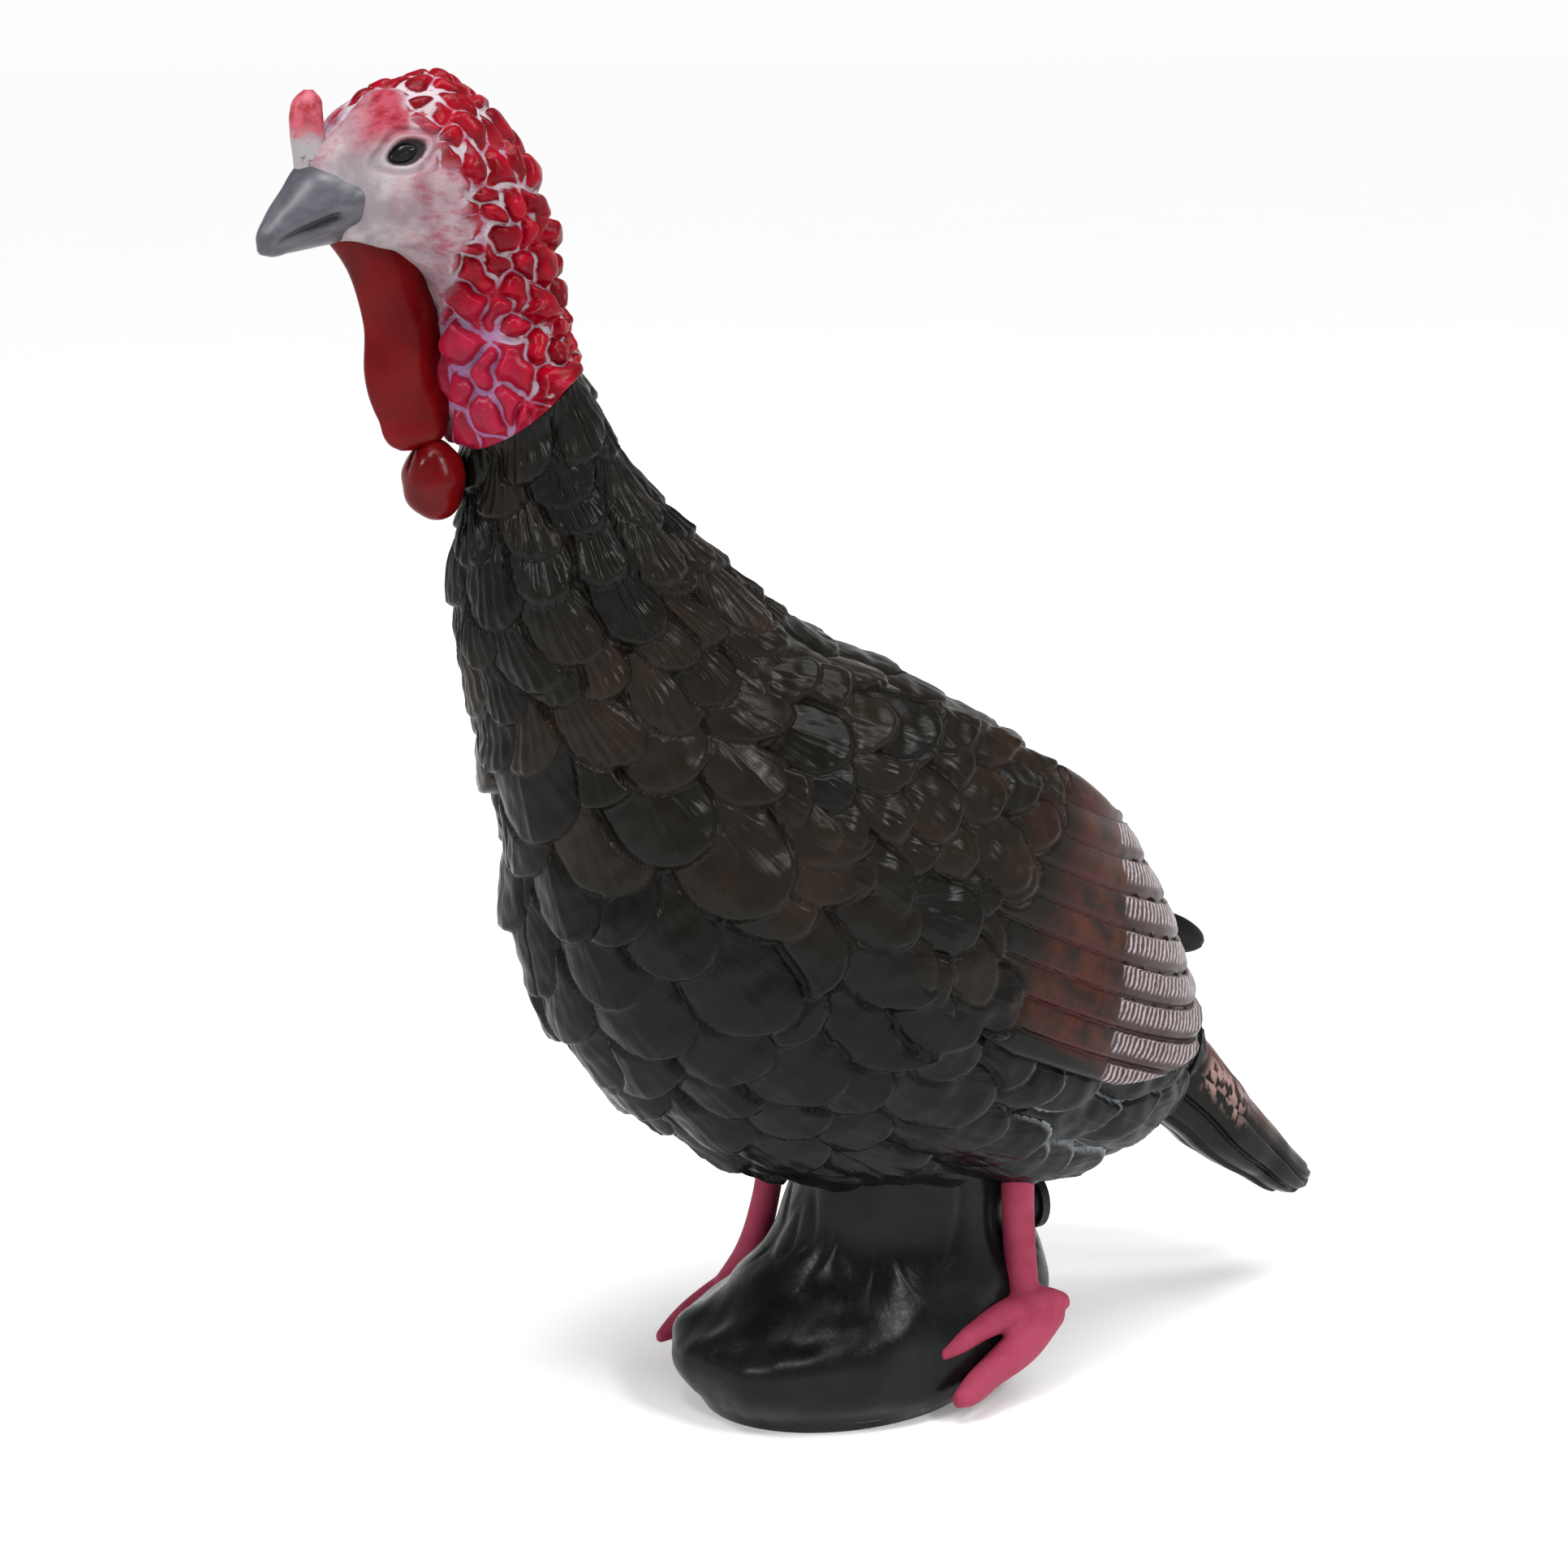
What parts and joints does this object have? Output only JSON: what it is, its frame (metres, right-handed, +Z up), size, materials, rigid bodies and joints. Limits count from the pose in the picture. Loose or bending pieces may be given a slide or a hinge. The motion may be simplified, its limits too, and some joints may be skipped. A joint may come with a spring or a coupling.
{
  "type": "turkey decoy",
  "caption": "Standing hen turkey decoy on a moulded rock, with a head that turns and is held by friction, a pull-out tail and two stake sleeves.",
  "frame": {"origin": "on the floor, under the middle of the rock, in the middle plane of the bird", "axes": "+Z up, the bird faces -Y, +X is the bird's left side"},
  "size_m": [0.2205, 0.5871, 0.6525],
  "materials": {
    "rock_skin": "satin moulded dark grey rock",
    "steel_zinc": "zinc plated steel",
    "base_plate": "black sheet plastic",
    "sleeve_nylon": "grey nylon",
    "sand": "dry sand",
    "plug_rubber": "black rubber",
    "shell_feathers": "satin painted feathers, dark brown-black",
    "wing_feathers": "satin painted wing, rust and white bars at the rear",
    "tail_feathers": "satin painted tail, rust ridge",
    "former_board": "birch plywood",
    "nylon_white": "natural nylon",
    "leg_pink": "flat pink paint",
    "head_skin": "painted skin, pale face and red caruncles",
    "core_foam": "rigid foam",
    "beak_grey": "smooth grey paint",
    "snood_paint": "red over grey-white paint",
    "dewlap_red": "smooth red paint",
    "ball_red": "glossier dark red paint",
    "eye_black": "gloss black",
    "washer_felt": "grey felt"
  },
  "bodies": {
    "decoy": {"base_shell": "rock_skin", "base_plate": "base_plate", "base_plate_screws": "steel_zinc", "stake_sleeve_front": "sleeve_nylon", "stake_sleeve_rear": "sleeve_nylon", "ballast_sand": "sand", "support_post": "steel_zinc", "post_flange": "steel_zinc", "flange_screws": "steel_zinc", "post_socket": "sleeve_nylon", "cross_bolt": "steel_zinc", "cross_nut": "steel_zinc", "trunk_former": "former_board", "leg_left": "leg_pink", "leg_right": "leg_pink", "leg_pins": "nylon_white", "body_shell_left": "shell_feathers", "body_shell_right": "shell_feathers", "shell_dowels": "nylon_white", "wing_left": "wing_feathers", "wing_right": "wing_feathers", "wing_pegs_left": "nylon_white", "wing_pegs_right": "nylon_white", "tail_socket": "sleeve_nylon", "neck_collar": "sleeve_nylon", "stop_peg": "steel_zinc", "friction_washer": "washer_felt"},
    "head": {"head_pivot": "nylon_white", "core_screws": "steel_zinc", "pivot_washer": "steel_zinc", "pivot_nut": "steel_zinc", "head_skin": "head_skin", "head_core": "core_foam", "eye_left": "eye_black", "eye_right": "eye_black", "beak": "beak_grey", "snood": "snood_paint", "dewlap": "dewlap_red", "wattle_ball": "ball_red"},
    "tail_piece": {"tail": "tail_feathers"},
    "plug": {"fill_plug": "plug_rubber"}
  },
  "joints": [
    {"name": "head_turn", "type": "hinge", "parent": "decoy", "child": "head", "pos_m": [0, -0.1536, 0.5073], "axis": [0, -0.6157, 0.788], "range_deg": [-45, 45]},
    {"name": "tail_pull", "type": "slide", "parent": "decoy", "child": "tail_piece", "axis": [0, 0.7431, -0.6691], "range_m": [0, 0.05]},
    {"name": "fill_plug_pull", "type": "slide", "parent": "decoy", "child": "plug", "axis": [0, 1, 0], "range_m": [0, 0.025]}
  ]
}
